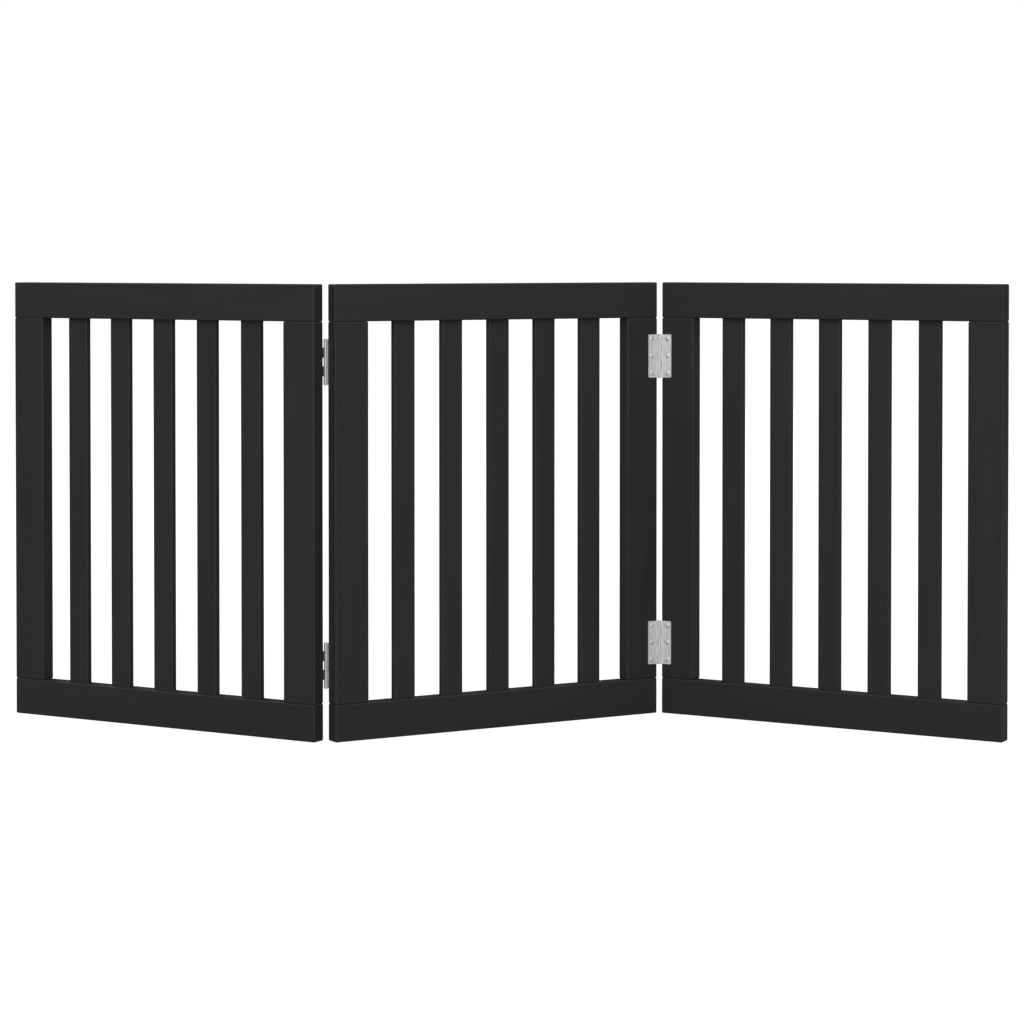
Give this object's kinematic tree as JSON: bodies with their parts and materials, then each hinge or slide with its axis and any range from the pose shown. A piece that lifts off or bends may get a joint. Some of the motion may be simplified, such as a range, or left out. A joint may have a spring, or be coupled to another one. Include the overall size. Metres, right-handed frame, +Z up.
{
  "type": "folding pet gate",
  "caption": "Free-standing folding pet gate: slatted panels in satin black painted wood stand in a zigzag and fold flat together on steel butt hinges.",
  "frame": {"origin": "on the floor under the centre of the middle panel, which is the centre of the whole gate's base as it stands in its zigzag", "axes": "+X across the gate from its left to its right end, +Y from its front to its back, +Z up"},
  "size_m": [1.3638, 0.2716, 0.61],
  "materials": {
    "painted_wood": "satin black paint over straight-grained softwood, eased edges",
    "dowel_wood": "bare beech",
    "hinge_steel": "zinc plated, lightly brushed",
    "pin_steel": "zinc plated, drawn wire",
    "screw_steel": "bright zinc plated"
  },
  "bodies": {
    "middle_panel": {"middle_panel_top_rail": "painted_wood", "middle_panel_bottom_rail": "painted_wood", "middle_panel_left_stile": "painted_wood", "middle_panel_right_stile": "painted_wood", "middle_panel_slat_1": "painted_wood", "middle_panel_slat_2": "painted_wood", "middle_panel_slat_3": "painted_wood", "middle_panel_slat_4": "painted_wood", "middle_panel_slat_5": "painted_wood", "middle_panel_dowels": "dowel_wood", "left_upper_hinge_middle_leaf": "hinge_steel", "left_upper_hinge_pin": "pin_steel", "left_lower_hinge_middle_leaf": "hinge_steel", "left_lower_hinge_pin": "pin_steel", "right_upper_hinge_middle_leaf": "hinge_steel", "right_upper_hinge_pin": "pin_steel", "right_lower_hinge_middle_leaf": "hinge_steel", "right_lower_hinge_pin": "pin_steel", "left_upper_hinge_middle_screws": "screw_steel", "left_lower_hinge_middle_screws": "screw_steel", "right_upper_hinge_middle_screws": "screw_steel", "right_lower_hinge_middle_screws": "screw_steel"},
    "left_panel": {"left_panel_top_rail": "painted_wood", "left_panel_bottom_rail": "painted_wood", "left_panel_left_stile": "painted_wood", "left_panel_right_stile": "painted_wood", "left_panel_slat_1": "painted_wood", "left_panel_slat_2": "painted_wood", "left_panel_slat_3": "painted_wood", "left_panel_slat_4": "painted_wood", "left_panel_slat_5": "painted_wood", "left_panel_dowels": "dowel_wood", "left_upper_hinge_outer_leaf": "hinge_steel", "left_lower_hinge_outer_leaf": "hinge_steel", "left_upper_hinge_outer_screws": "screw_steel", "left_lower_hinge_outer_screws": "screw_steel"},
    "right_panel": {"right_panel_top_rail": "painted_wood", "right_panel_bottom_rail": "painted_wood", "right_panel_left_stile": "painted_wood", "right_panel_right_stile": "painted_wood", "right_panel_slat_1": "painted_wood", "right_panel_slat_2": "painted_wood", "right_panel_slat_3": "painted_wood", "right_panel_slat_4": "painted_wood", "right_panel_slat_5": "painted_wood", "right_panel_dowels": "dowel_wood", "right_upper_hinge_outer_leaf": "hinge_steel", "right_lower_hinge_outer_leaf": "hinge_steel", "right_upper_hinge_outer_screws": "screw_steel", "right_lower_hinge_outer_screws": "screw_steel"}
  },
  "joints": [
    {"name": "left_fold", "type": "hinge", "parent": "middle_panel", "child": "left_panel", "pos_m": [-0.22856, -0.11632, 0.305], "axis": [0, 0, -1], "range_deg": [-65, 120]},
    {"name": "right_fold", "type": "hinge", "parent": "middle_panel", "child": "right_panel", "pos_m": [0.22856, 0.11632, 0.305], "axis": [0, 0, -1], "range_deg": [-65, 120]}
  ]
}
